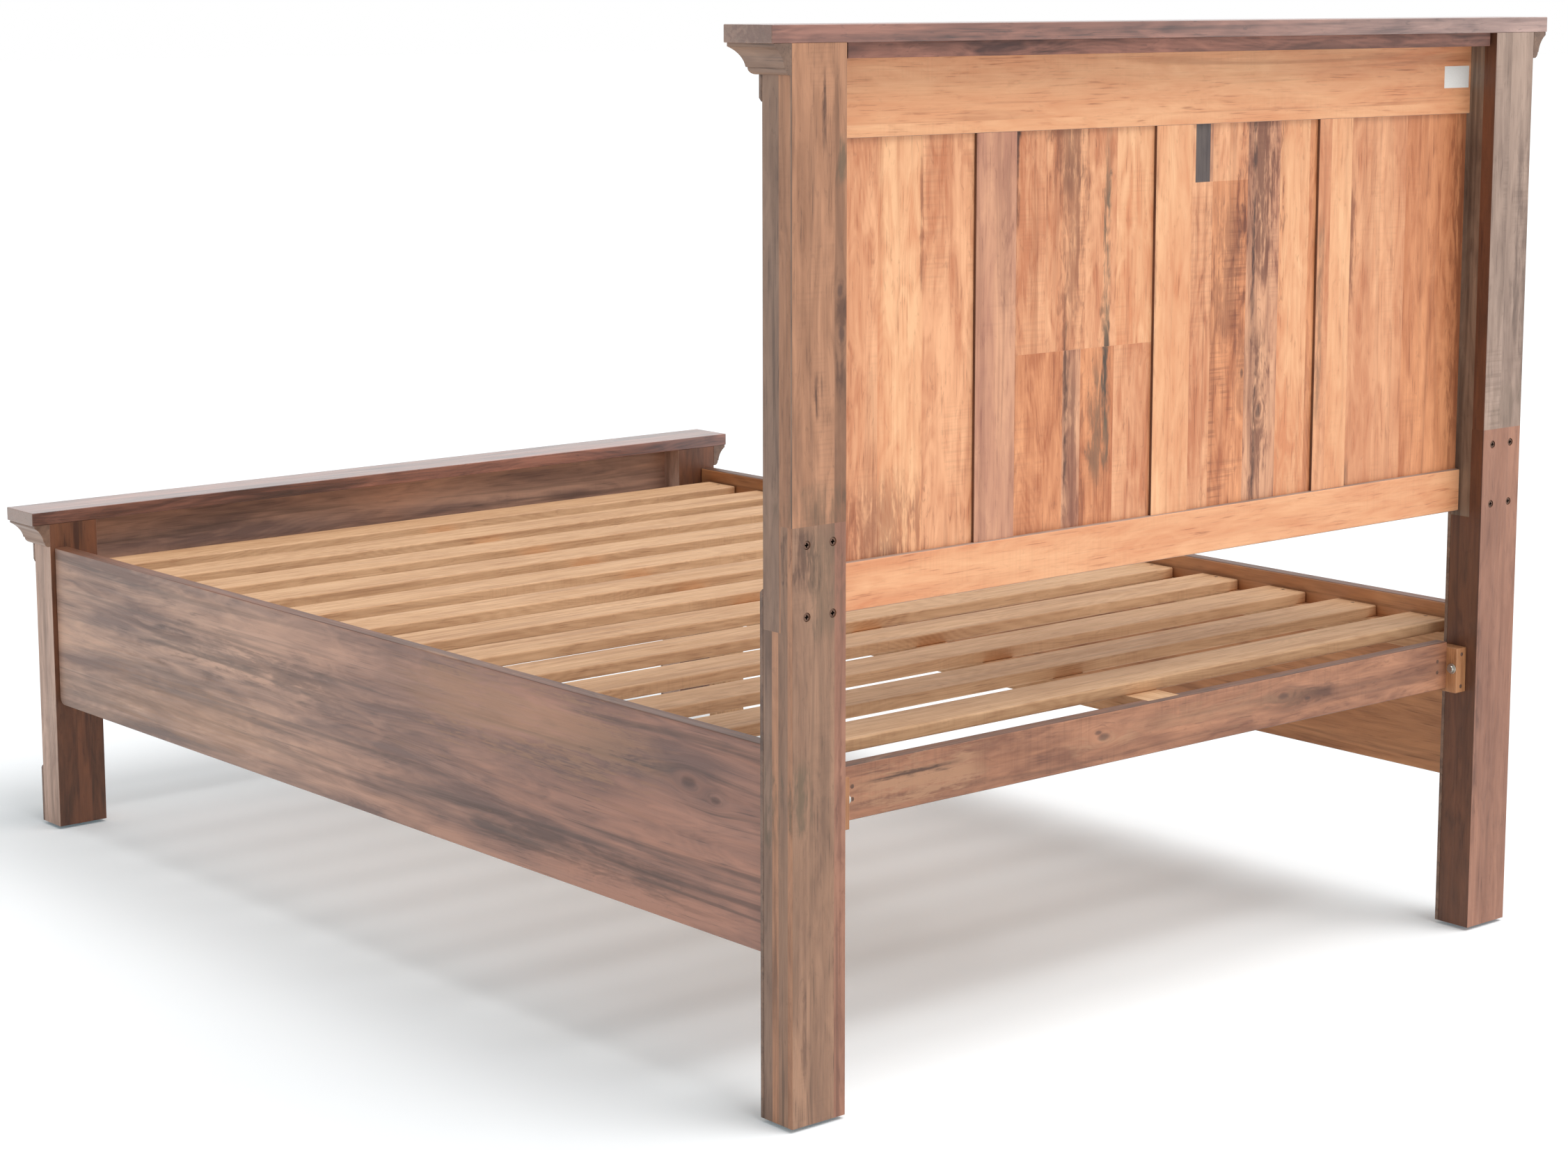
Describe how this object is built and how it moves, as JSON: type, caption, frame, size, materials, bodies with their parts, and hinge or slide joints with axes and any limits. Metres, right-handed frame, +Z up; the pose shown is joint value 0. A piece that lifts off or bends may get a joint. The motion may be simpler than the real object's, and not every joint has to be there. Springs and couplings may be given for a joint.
{
  "type": "wooden bed frame",
  "caption": "Queen-size wooden bed frame: panelled headboard and low footboard, both with crown mouldings, deep side rails, slats and a centre leg.",
  "frame": {"origin": "on the floor under the middle of the bed's bounding box", "axes": "+Z up, +Y towards the head end, +X to the left side seen from behind the headboard"},
  "size_m": [1.702, 2.3, 1.565],
  "materials": {
    "post_wood": "satin brown-stained mango wood",
    "panel_wood": "satin warm orange-tan staves, open grain",
    "cross_wood": "satin brown, rough sawn",
    "rail_wood": "satin grey-brown stain, long streaks",
    "inner_wood": "plain planed timber, matt",
    "dark_steel": "blackened zinc",
    "zinc_steel": "zinc plated",
    "glide": "black moulded plastic",
    "label": "blank white paper"
  },
  "bodies": {
    "bed_frame": {"centre_beam": "inner_wood", "centre_leg": "inner_wood", "cross_rail_block_left": "cross_wood", "cross_rail_block_right": "cross_wood", "cross_rail_bolts": "dark_steel", "foot_bottom_rail": "panel_wood", "foot_cap": "post_wood", "foot_capital_left": "post_wood", "foot_capital_right": "post_wood", "foot_cross_rail": "inner_wood", "foot_crown_front": "post_wood", "foot_crown_left": "post_wood", "foot_crown_right": "post_wood", "foot_muntin_centre": "panel_wood", "foot_muntin_left": "panel_wood", "foot_muntin_right": "panel_wood", "foot_panel_1": "panel_wood", "foot_panel_2": "panel_wood", "foot_panel_3": "panel_wood", "foot_panel_4": "panel_wood", "foot_plinth_left": "post_wood", "foot_plinth_right": "post_wood", "foot_post_left": "post_wood", "foot_post_right": "post_wood", "foot_top_rail": "panel_wood", "head_bottom_rail": "panel_wood", "head_cap": "post_wood", "head_cap_cleat": "post_wood", "head_capital_left": "post_wood", "head_capital_right": "post_wood", "head_cross_rail": "cross_wood", "head_crown_front": "post_wood", "head_crown_left": "post_wood", "head_crown_right": "post_wood", "head_leg_left": "post_wood", "head_leg_right": "post_wood", "head_muntin_centre": "panel_wood", "head_muntin_left": "panel_wood", "head_muntin_right": "panel_wood", "head_panel_1": "panel_wood", "head_panel_2": "panel_wood", "head_panel_3": "panel_wood", "head_panel_4": "panel_wood", "head_plinth_left": "post_wood", "head_plinth_right": "post_wood", "head_post_left": "post_wood", "head_post_right": "post_wood", "head_top_rail": "panel_wood", "lap_screws": "dark_steel", "ledger_left": "inner_wood", "ledger_right": "inner_wood", "leg_glides": "glide", "post_keeper_plates": "zinc_steel", "rail_hook_plates": "zinc_steel", "rear_label": "label", "side_rail_left": "rail_wood", "side_rail_right": "rail_wood", "slat_screws": "zinc_steel", "slats": "inner_wood"},
    "levelling_foot": {"levelling_foot": "glide"}
  },
  "joints": [
    {"name": "levelling_foot_travel", "type": "slide", "parent": "bed_frame", "child": "levelling_foot", "axis": [0, 0, -1], "range_m": [-0.01, 0.01]}
  ]
}
